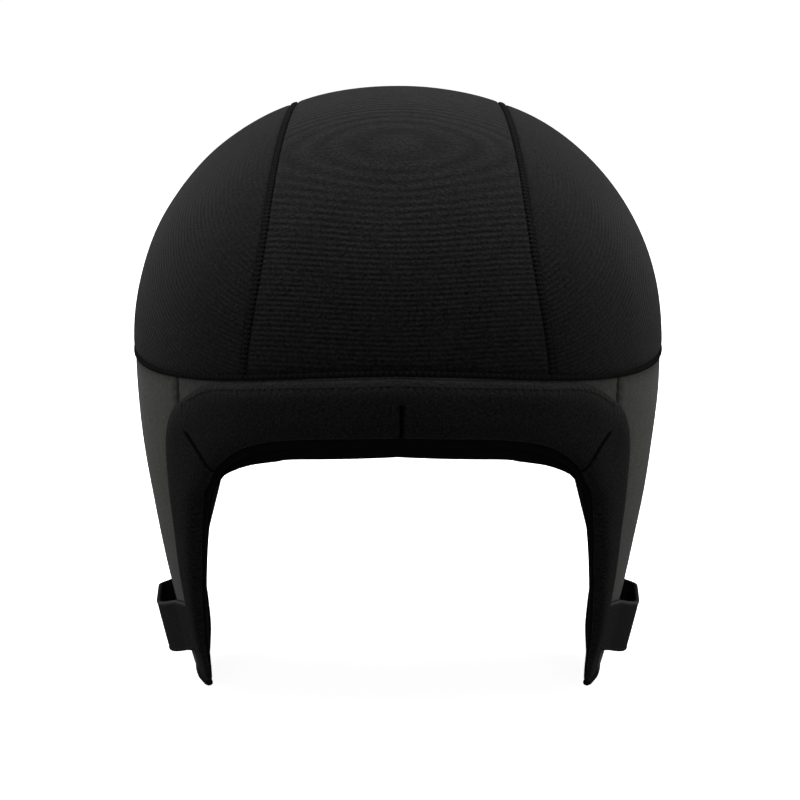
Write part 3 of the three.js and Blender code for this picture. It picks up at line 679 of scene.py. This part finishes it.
def build_seams():
    first, last = (waist_alpha(seam_spread(0), front, -0.2) for front in (True, False))
    alpha = np.linspace(first, last, 1500)
    for label, side in SIDES:
        line = np.stack([seam_spread(alpha), -np.cos(alpha), np.sin(alpha)], axis=-1)
        points, normals = crown(line)
        dress(cord(f"crown_seam_{label}_cord", points * (side, 1, 1), normals * (side, 1, 1),
                   half=1.25, pitch=1.7, bead=0.5), "seam_thread", "shell", [f"crown_seam_{label}"])
        z = np.linspace(shell_height(REAR_SEAM_ANGLE) + 0.4, -0.4, 140)
        points, normals = wall(side * REAR_SEAM_ANGLE, z)
        dress(cord(f"rear_seam_{label}_cord", points, normals), "seam_thread", "shell",
              [f"rear_seam_{label}"])
    angle = np.linspace(0, 360, 1400, endpoint=False)
    points, normals = wall(angle, waist_height(angle))
    points = points + normals * WALL_INSET[1]
    dress(cord("waist_seam_cord", points, normals, half=0.95, high=0.45, ring=True),
          "seam_thread", "shell", ["waist_seam"])


# ---- Walls ----

def wall_grid(start, end, bottom, top, rows, cols, side=1):
    angle = side * np.linspace(start, end, cols)[None]
    level = np.linspace(0, 1, rows)[:, None]
    z = bottom(angle) + (top(angle) - bottom(angle)) * level
    return wall(np.broadcast_to(angle, z.shape), z)


def waist_edge(angle):
    return waist_height(angle) - 0.3


def shell_edge(angle):
    return shell_height(angle) + 0.3


def core_edge(angle):
    return core_height(angle) + 0.3


def build_walls():
    def skin(name, slot, body, span, rows, cols, nodes, side=1, **look):
        points, normals = wall_grid(*span, shell_edge, waist_edge, rows, cols, side)
        dress(panel(name, points, normals, metric_uv(points), -SKIN, 0.0, **look), slot, body, nodes)

    skin("brow_skin", "front_fabric", "shell", (-BROW_SPAN, BROW_SPAN), 24, 60, ["brow_panel"])
    skin("nape_skin", "shell_neoprene", "shell", (REAR_SEAM_ANGLE + 0.2, 359.8 - REAR_SEAM_ANGLE),
         70, 180, ["nape_panel"])
    for label, side in SIDES:
        skin(f"front_skin_{label}", "front_fabric", "shell", (BROW_SPAN + 0.2, DART_ANGLE - 0.15),
             60, 40, [f"side_front_panel_{label}"], side)
        skin(f"side_skin_{label}", "shell_neoprene", f"bend_{label}",
             (DART_ANGLE + 0.15, REAR_SEAM_ANGLE - 0.2), 150, 190,
             [f"side_panel_{label}", f"flap_panel_{label}"], side)


def build_core():
    def layer(name, slot, body, span, low, high, rows, cols, nodes, side=1):
        points, normals = wall_grid(*span, core_edge, lambda a: waist_height(a) - 1.2, rows, cols, side)
        z = points[..., 2]
        inside = border_distance(points)
        top = high(z) - 0.3 * np.exp(-(inside / 1.2) ** 2)
        base = low(z) + 0.3 * np.exp(-(inside / 1.2) ** 2)
        dress(sheet_solid(name, points + normals * top[..., None], points + normals * base[..., None],
                          metric_uv(points)), slot, body, nodes)

    def foam_top(z):
        return -SKIN - layer_gap(z)

    def lining_top(z):
        return foam_inner(z) - layer_gap(z)

    def lining_low(z):
        return lining_top(z) - LINING

    def tile(place, body, span, rows, cols, nodes, side=1):
        layer(f"foam_tile_{place}", "foam", body, span, foam_inner, foam_top, rows, cols, nodes, side)

    tile("brow", "shell", (-46, 46), 24, 90, ["foam_brow"])
    tile("nape", "shell", (REAR_SEAM_ANGLE + 0.5, 359.5 - REAR_SEAM_ANGLE), 40, 90, ["foam_nape"])
    for label, side in SIDES:
        tile(f"side_{label}", f"bend_{label}", (46.5, REAR_SEAM_ANGLE - 0.5), 90, 120,
             [f"foam_side_{label}", f"foam_flap_{label}"], side)
        layer(f"lining_side_{label}_cloth", "lining", f"bend_{label}", (0, 180), lining_low,
              lining_top, 90, 260, ["lining_band", f"lining_flap_{label}"], side)


# ---- Trim, lip and hems ----

def stations():
    """Stations along the face edge, closer together at the slits."""
    even = np.linspace(0, LAST_STATION, 420)
    notch = np.array([0.15, 0.3, 0.45, 0.6, 0.8, 1.05, 1.4, 1.9]) * 0.032
    mitre = MITRE_STATION + np.linspace(-0.45, 0.55, 80)
    return np.unique(np.round(np.concatenate([even, notch, mitre]), 5))


def trim_grid(side):
    s = stations()[:, None]
    a = spread_out(46)[None]
    outer, inner = edge(OUTER, s), edge(INNER, s)
    outer = outer + (TIP_WIDER, 0) * smooth((s - LAST_STATION + 4) / 2)[..., None]
    place = outer + (inner - outer) * a[..., None]
    points, normals = wall(side * place[..., 0], place[..., 1])
    return s, a, points, normals


def slit_depth(points, s, a):
    """How deep the brow notch and the mitre cut into the trim, from 0 to 1."""
    def cut(distance, width, start):
        return np.exp(-(distance / width) ** 4) * smooth((a - start) / 0.05)
    along = run_length(points, 0)
    mitre = along - along[np.argmin(np.abs(s[:, 0] - MITRE_STATION))]
    inwards = np.clip((a - MITRE_START) / (1 - MITRE_START), 0, 1)
    mitre = mitre - MITRE_LEAN[0] - (MITRE_LEAN[1] - MITRE_LEAN[0]) * inwards ** 2.5
    return np.maximum(cut(points[..., 0] - NOTCH_PLACE, NOTCH_WIDTH, NOTCH_TOP),
                      cut(mitre, MITRE_WIDTH, MITRE_START))


def build_trim():
    for label, side in SIDES:
        s, a, points, normals = trim_grid(side)
        rise = np.maximum(1 - np.abs(2 * a - 1) ** 3.0, 0) ** (1 / 2.6)
        tip = smooth((LAST_STATION + 0.02 - s) / 0.5)
        taper = smooth((s - TRIM_TAPER_STATION) / (LAST_STATION - TRIM_TAPER_STATION))
        thick = TRIM_RISE + (TRIM_TIP_RISE - TRIM_RISE) * taper
        slit = slit_depth(points, s, a)
        along = run_length(points, 0)
        groove = 0.15 * np.exp(-((a * run_length(points, 1)[:, -1:] - 3.0) / 0.55) ** 2)
        pucker = 0.10 * np.sin(along * 2 * math.pi / 2.8) * np.exp(-(((a - 0.1) / 0.1) ** 2))
        full = thick * rise * (0.25 + 0.75 * tip) + ripple(points, 0.22, 31) * rise
        top = TRIM_FOOT + 0.1 + full * (1 - 0.85 * slit) + (pucker - groove) * rise
        # Painted highlight along the brow trim's top edge, and painted shade that darkens the notch and
        # mitre slits almost to black.
        brow_top_highlight = 0.3 * np.exp(-((a - 0.06) / 0.15) ** 2) * smooth((MITRE_STATION - s) / 1.5)
        shade = (1 + brow_top_highlight) * (1 - 0.97 * np.clip(slit * 1.6, 0, 1))
        cloth = metric_uv(points)
        cloth[..., 1] -= cloth[-1:, :, 1] * (s > MITRE_STATION)
        obj = sheet_solid(f"face_trim_{label}", points + normals * top[..., None],
                          points + normals * TRIM_FOOT, cloth, shade + 0 * top)
        dress(obj, "trim_knit", f"bend_{label}",
              [f"brow_trim_{label}", f"cheek_trim_{label}", f"flap_trim_{label}"])


def lip_sections(side):
    """Section loops of the binding that turns from the trim's edge in to the lining."""
    s = np.linspace(0, LAST_STATION, 360)[:, None]
    rim, lip, core = edge(INNER, s[:, 0]), edge(LIP, s[:, 0]), edge(CORE, s[:, 0])
    lip = lip + (0, LIP_LIFT) * smooth((MITRE_STATION - s) / 2)
    outer = edge(OUTER, s[:, 0])
    inset = spline(LIP_INSET, s[:, 0] / LAST_STATION)[:, 0]
    depth = foam_inner(rim[:, 1]) - layer_gap(rim[:, 1]) - LINING
    back = core + unit(rim - outer) * 0.8
    corners = [(rim, np.full_like(inset, -0.8)),
               (rim + (lip - rim) * 0.5, FOAM_TOP - 0.3 * (inset + FOAM_TOP)),
               (lip, -inset), (lip + (back - lip) * 0.6, depth), (back, depth),
               (back, np.full_like(inset, FOAM_TOP))]
    loop = []
    for place, h in corners:
        points, normals = wall(side * place[:, 0], place[:, 1])
        loop.append(points + normals * h[:, None])
    loop = np.stack(loop, axis=1)
    return s, loop


def round_loop(loop, count):
    """Each section loop resampled as a closed smooth curve through its corners."""
    corners = loop.shape[1]
    t = np.linspace(0, corners, count, endpoint=False)
    i = np.floor(t).astype(int)
    w = (t - i)[None, :, None]
    p0, p1, p2, p3 = (loop[:, (i + k) % corners] for k in (-1, 0, 1, 2))
    v0, v1 = (p2 - p0) / 2, (p3 - p1) / 2
    return ((2 * p1 - 2 * p2 + v0 + v1) * w ** 3 + (-3 * p1 + 3 * p2 - 2 * v0 - v1) * w ** 2
            + v0 * w + p1), t


def build_lip():
    for label, side in SIDES:
        s, loop = lip_sections(side)
        sections, t = round_loop(loop, 72)
        along = np.gradient(sections, axis=0)
        around = np.roll(sections, -1, axis=1) - np.roll(sections, 1, axis=1)
        out = unit(np.cross(around, along))
        centre = sections.mean(axis=1, keepdims=True)
        out = out * np.sign((out * (sections - centre)).sum(axis=-1).mean())
        rolls = np.where(t < 2, np.abs(np.sin(t * math.pi)) ** 0.8, 0)
        size = 0.9 * np.clip((LAST_STATION - s) / 2, 0, 1)
        sections = sections + out * (rolls[None] * size)[..., None]
        nodes = ["face_lip", f"flap_lip_{label}"]
        dress(tube_solid(f"face_binding_{label}", sections), "edge_binding", f"bend_{label}", nodes)


def hem_sections(angle, side=1):
    """A soft roll under the shell's lower edge, as thick as the shell and lapping over it."""
    z = shell_height(angle) - 0.4
    reach = 0.4
    rise = shell_height(angle + reach) - shell_height(angle - reach)
    width = np.linalg.norm(wall_base(angle + reach, z) - wall_base(angle - reach, z), axis=-1)
    slope = rise / width
    run = np.sqrt(1 + slope ** 2)
    deep = smooth((np.abs(angle) - HEM_DEEPENS[0]) / (HEM_DEEPENS[1] - HEM_DEEPENS[0]))
    depth = -SKIN + (foam_inner(z) - layer_gap(z) - LINING + SKIN) * deep
    turn = np.linspace(0, 2 * math.pi, 28, endpoint=False)[None]
    half = (0.5 - depth)[:, None] / 2
    height = 0.5 - half + half * np.sign(np.cos(turn)) * np.abs(np.cos(turn)) ** 0.75
    top = -0.2 * HEM_DEPTH - 1.0 * (1 - deep[:, None])
    foot = HEM_DEPTH * (0.42 + 0.62 * deep[:, None])
    drop = (top + foot) / 2 + (foot - top) / 2 * np.sign(np.sin(turn)) * np.abs(np.sin(turn)) ** 0.75
    shift = np.degrees(drop * (slope / run)[:, None] / HALF_BREADTH)
    points, normals = wall(side * (angle[:, None] + shift), z[:, None] - drop / run[:, None])
    stitch = 0.12 * np.sin(run_length(points, 0) * 2 * math.pi / 3.0) * np.exp(-((drop - 0.3) / 0.8) ** 2)
    return points + normals * (height + stitch)[..., None]


def build_hems():
    for label, side in SIDES:
        angle = np.linspace(HEM_START, FLAP_REAR_ANGLE + 0.9, 420)
        dress(tube_solid(f"flap_binding_{label}", hem_sections(angle, side)), "edge_binding",
              f"bend_{label}", [f"flap_hem_{label}"])
    angle = np.linspace(FLAP_REAR_ANGLE + 1.0, 359 - FLAP_REAR_ANGLE, 420)
    dress(tube_solid("nape_binding", hem_sections(angle)), "edge_binding", "shell", ["nape_hem"])


# ---- Stitch rows ----

def stitches(name, points, normals, pitch, length, thick, sink=0.25, slant=0.0):
    """Short threads along a line, each one arching out of the cloth and back in."""
    run = run_length(points, 0)
    middles = np.arange(pitch, run[-1] - pitch, pitch)
    arc = np.linspace(-1, 1, 7)[None]
    where = middles[:, None] + arc * length / 2
    centre, up = (np.stack([np.interp(where, run, values[:, k]) for k in range(3)], axis=-1)
                  for values in (points, normals))
    ahead = unit(centre[:, -1:] - centre[:, :1])
    across = unit(np.cross(up, ahead + 0 * centre))
    centre = centre + across * (arc * slant)[..., None]
    centre = centre + up * ((1 - arc ** 2) * (thick + sink) - sink)[..., None]
    turn = np.linspace(0, 2 * math.pi, 8, endpoint=False)
    radius = thick * (0.55 + 0.45 * np.sqrt(1 - np.clip(np.abs(arc) - 0.05, 0, 1) ** 2))
    rings = (centre[:, :, None] + across[:, :, None] * (np.cos(turn) * radius[..., None])[..., None]
             + up[:, :, None] * (np.sin(turn) * radius[..., None])[..., None])
    count, steps, sides = rings.shape[:3]
    index = np.arange(steps * sides).reshape(steps, sides)
    wrapped = np.concatenate([index, index[:, :1]], axis=1)
    quads = grid_quads(wrapped)
    faces = (quads[None] + (np.arange(count) * steps * sides)[:, None, None]).reshape(-1, 4)
    caps = [index[0], index[-1]]
    caps = [cap + k * steps * sides for k in range(count) for cap in caps]
    uv = np.stack([np.broadcast_to(turn * thick, rings.shape[:3]),
                   np.broadcast_to(where[..., None], rings.shape[:3])], axis=-1).reshape(-1, 2)
    all_faces = [*faces, *caps]
    return make_object(name, rings.reshape(-1, 3), all_faces, [uv[f] for f in all_faces])


def build_stitches():
    for label, side in SIDES:
        s, a, points, normals = trim_grid(side)
        column = int(np.argmin(np.abs(a[0] - 0.10)))
        line = points[:, column] + normals[:, column] * (TRIM_FOOT + TRIM_RISE * 0.80)
        keep = (s[:, 0] > 0.03) & (s[:, 0] < MITRE_STATION - 0.4)
        row = stitches(f"trim_topstitch_{label}", line[keep], normals[keep][:, column], 2.7, 1.7, 0.2)
        dress(row, "seam_thread", f"bend_{label}", material=BRIGHT_THREAD)


# ---- Strap loops ----

def wall_at(y, z):
    """Point of the wearer's left wall at a place along the helmet's length."""
    angle = np.linspace(20, 160, 4000)
    line = wall_base(angle, np.full_like(angle, z))
    return wall_base(np.interp(y, line[:, 1], angle), np.asarray(z, float))


def bezier(a, b, c, d, count):
    t = np.linspace(0, 1, count)[:, None]
    return (1 - t) ** 3 * a + 3 * (1 - t) ** 2 * t * b + 3 * (1 - t) * t ** 2 * c + t ** 3 * d


def loop_line(height, front_end):
    """Line of the webbing at one height: tab, rise, straight stretch, fall, tab."""
    def on_flap(y):
        climb = (LOOP_CLIMB[0] * max(0, LOOP_FLAT[0][1] - y)
                 + LOOP_CLIMB[1] * max(0, y - LOOP_FLAT[1][1]))
        return wall_at(y, height + climb) + (TAB_GAP + WEB_THICK / 2, 0, 0)

    front = [on_flap(y) for y in (front_end, LOOP_FRONT)]
    rear = [on_flap(y) for y in np.linspace(*LOOP_REAR, 8)]
    lean = LOOP_SLOPE * (height - LOOP_HEIGHT) - WEB_THICK / 2
    start, end = (np.array([x + lean, y, height]) for x, y in LOOP_FLAT)
    along = unit(end - start)
    rise = bezier(front[1], front[1] + unit(front[1] - front[0]) * 5, start - along * 9, start, 26)
    fall = bezier(end, end + along * 6, rear[0] + unit(rear[0] - rear[1]) * 5, rear[0], 26)
    flat = start + (end - start) * np.linspace(0, 1, 22)[1:-1, None]
    tab = front[0] + (front[1] - front[0]) * np.linspace(0, 1, 10)[:-1, None]
    parts = [(tab, 20), (rise, 50), (flat, 30), (fall, 40), (np.stack(rear[1:]), 16)]
    return np.concatenate([spline(part, np.linspace(0, 1, count)) for part, count in parts])


def build_loops():
    top, bottom = (loop_line(LOOP_HEIGHT + side * WEB_WIDTH / 2, end)
                   for side, end in ((1, LOOP_UNDER_TRIM[0]), (-1, LOOP_UNDER_TRIM[1])))
    line, across = (top + bottom) / 2, unit(top - bottom)
    normals = unit(np.cross(np.gradient(line, axis=0), across))
    for label, side in SIDES:
        flip = np.array([side, 1, 1])
        turn = np.linspace(0, 2 * math.pi, 64, endpoint=False)[None]
        wide = np.sign(np.cos(turn)) * np.abs(np.cos(turn)) ** 0.35 * WEB_WIDTH / 2
        near_edge = np.exp(-((WEB_WIDTH / 2 - np.abs(wide) - 0.5) / 0.7) ** 2)
        run = run_length(line, 0)[:, None]
        weave = 1 + 0.05 * np.sin(run * 2 * math.pi / 1.6 + np.sign(wide) * 1.5)
        thick = (np.sign(np.sin(turn)) * np.abs(np.sin(turn)) ** 0.35 * WEB_THICK / 2
                 * (1 + 0.45 * near_edge) * weave)
        sections = (line[:, None] + normals[:, None] * thick[..., None]
                    + across[:, None] * (wide + 0 * run)[..., None])
        # Painted highlight on the upper selvedge of the webbing's outer face, and painted shade on its
        # face towards the flap.
        shade = np.where(thick > 0, 1 + 2.8 * near_edge * (wide > 0), 0.7)
        dress(tube_solid(f"webbing_loop_{label}", sections * flip, shade=shade), "webbing",
              f"flap_{label}", [f"strap_loop_{label}"])
        build_tack(label, flip, line, normals, across)


def build_tack(label, flip, line, normals, across):
    """Bar tacks: dense threads across the webbing's rear tab."""
    rows = []
    run = run_length(line, 0)
    tab = (run > run[-1] - 7.0) & (run < run[-1] - 1.5)
    first, last = np.flatnonzero(tab)[[0, -1]]
    ends = np.linspace(first, last, 16).astype(int)
    level = np.linspace(-WEB_WIDTH / 2 + 1.6, WEB_WIDTH / 2 - 1.6, 60)
    for k, i in enumerate(ends[::5]):
        out = WEB_THICK / 2 + 0.15
        points = line[i] + across[i] * level[:, None] + normals[i] * out
        rows.append(stitches(f"tack_row_{label}_{k}", points * flip,
                             np.broadcast_to(normals[i] * flip, points.shape).copy(), 0.62, 1.5, 0.24,
                             slant=0.55))
    bpy.ops.object.select_all(action="DESELECT")
    for obj in rows:
        obj.select_set(True)
    bpy.context.view_layer.objects.active = rows[0]
    bpy.ops.object.join()
    rows[0].name = f"bar_tack_{label}"
    dress(rows[0], "tack_thread", f"flap_{label}", [f"loop_tack_{label}"])


# ---- Comfort pads ----

def build_pads():
    def pad(name, span, levels, node, side=1):
        points, normals = wall_grid(*span, lambda a: levels[0] + 0 * a, lambda a: levels[1] + 0 * a,
                                    60, 90, side)
        inside = border_distance(points)
        top = foam_inner(points[..., 2]) - LAYER_GAP - LINING - 0.3
        crowned = 5.0 * np.sqrt(np.clip(1 - (1 - np.clip(inside / 9, 0, 1)) ** 2, 0, 1))
        run = run_length(points, 1)
        middle = run - run[:, -1:] / 2
        channels = sum(np.exp(-((middle - x) / 1.3) ** 2) for x in (-9, 9))
        base = top - np.maximum(crowned - 1.8 * channels * (crowned / 5), 0.15)
        obj = sheet_solid(name, points + normals * top[..., None], points + normals * base[..., None],
                          metric_uv(points))
        dress(obj, "pad_fabric", "shell", [node])

    pad("nape_cushion", (152, 208), (-50, -14), "nape_pad")
    for label, side in SIDES:
        pad(f"side_cushion_{label}", (74, 106), (-38, -8), f"side_pad_{label}", side)
    polar, turn = spread_out(40)[:, None] * math.radians(21), np.linspace(0, 2 * math.pi, 97)[None, :-1]
    points, normals = crown(np.stack([np.sin(polar) * np.sin(turn), -np.sin(polar) * np.cos(turn),
                                      np.cos(polar) + 0 * turn], axis=-1))
    top = points + normals * (CROWN_LINING - LINING - 0.6)
    share = polar / polar[-1]
    under = top.copy()
    channel = 0.9 * np.exp(-((share - 0.62) / 0.045) ** 2)
    edge_round = 3.0 * np.clip((share - 0.86) / 0.14, 0, 1) ** 2
    under[..., 2] = SEAT_HEIGHT + channel + edge_round
    sections = np.concatenate([under[1:], top[:0:-1]])
    obj = tube_solid("crown_cushion", sections, flat=True)
    dress(obj, "pad_fabric", "shell", ["crown_pad"])


# ---- Camera, light and floor ----

CAMERA_PLACE, CAMERA_TILT, CAMERA_LENS = (0.00076, -0.930, 0.072), 10.29, 110.1
SKY_LIT, SKY_SEEN = 0.12, 1.0        # the studio's walls: the light they give, and their look
FLOOR_DROP, FLOOR_GLOW = 0.0005, 0.9


def build_stage():
    low, high = CAD_BOX
    scene = bpy.context.scene
    scene.view_settings.view_transform = "Standard"
    camera = bpy.data.objects.new("camera", bpy.data.cameras.new("camera"))
    camera.data.lens = CAMERA_LENS
    camera.data.clip_start, camera.data.clip_end = 0.05, 30
    camera.location = CAMERA_PLACE
    camera.rotation_euler = (math.radians(90 - CAMERA_TILT), 0, 0)
    scene.collection.objects.link(camera)
    scene.camera = camera

    def lamp(name, place, target, size, power):
        light = bpy.data.objects.new(name, bpy.data.lights.new(name, "AREA"))
        light.data.shape = "SQUARE"
        light.data.size = size
        light.data.energy = power
        light.location = place
        light.rotation_euler = (Vector(target) - Vector(place)).to_track_quat("-Z", "Y").to_euler()
        scene.collection.objects.link(light)

    middle = tuple((low + high) / 2)
    lamp("overhead", (0, 0.15, 1.3), middle, 1.2, 33)
    lamp("front_fill", (0, -1.9, 0.35), middle, 1.4, 9)
    for side in (-1, 1):
        lamp("side_fill", (side * 1.3, 0.25, 0.25), middle, 1.0, 8)

    world = bpy.data.worlds.new("studio")
    scene.world = world
    world.use_nodes = True
    nodes, links = world.node_tree.nodes, world.node_tree.links
    seen = nodes.new("ShaderNodeLightPath")
    strength = nodes.new("ShaderNodeMapRange")
    strength.inputs["To Min"].default_value = SKY_LIT
    strength.inputs["To Max"].default_value = SKY_SEEN
    links.new(seen.outputs["Is Camera Ray"], strength.inputs["Value"])
    nodes["Background"].inputs["Color"].default_value = (1, 1, 1, 1)
    links.new(strength.outputs[0], nodes["Background"].inputs["Strength"])

    bpy.ops.mesh.primitive_grid_add(size=400, x_subdivisions=4, y_subdivisions=4,
                                    location=(0, 0, low.z - FLOOR_DROP))
    floor = bpy.context.object
    floor.name = "floor"
    paper = bpy.data.materials.new("paper")
    paper.use_nodes = True
    shader = paper.node_tree.nodes["Principled BSDF"]
    shader.inputs["Base Color"].default_value = (0.92, 0.92, 0.92, 1)
    shader.inputs["Roughness"].default_value = 0.9
    shader.inputs["Emission Color"].default_value = (1, 1, 1, 1)
    shader.inputs["Emission Strength"].default_value = FLOOR_GLOW
    floor.data.materials.append(paper)
    floor.visible_diffuse = floor.visible_glossy = False


build_stage()
build_crown()
build_seams()
build_walls()
build_core()
build_trim()
build_lip()
build_hems()
build_stitches()
build_loops()
build_pads()
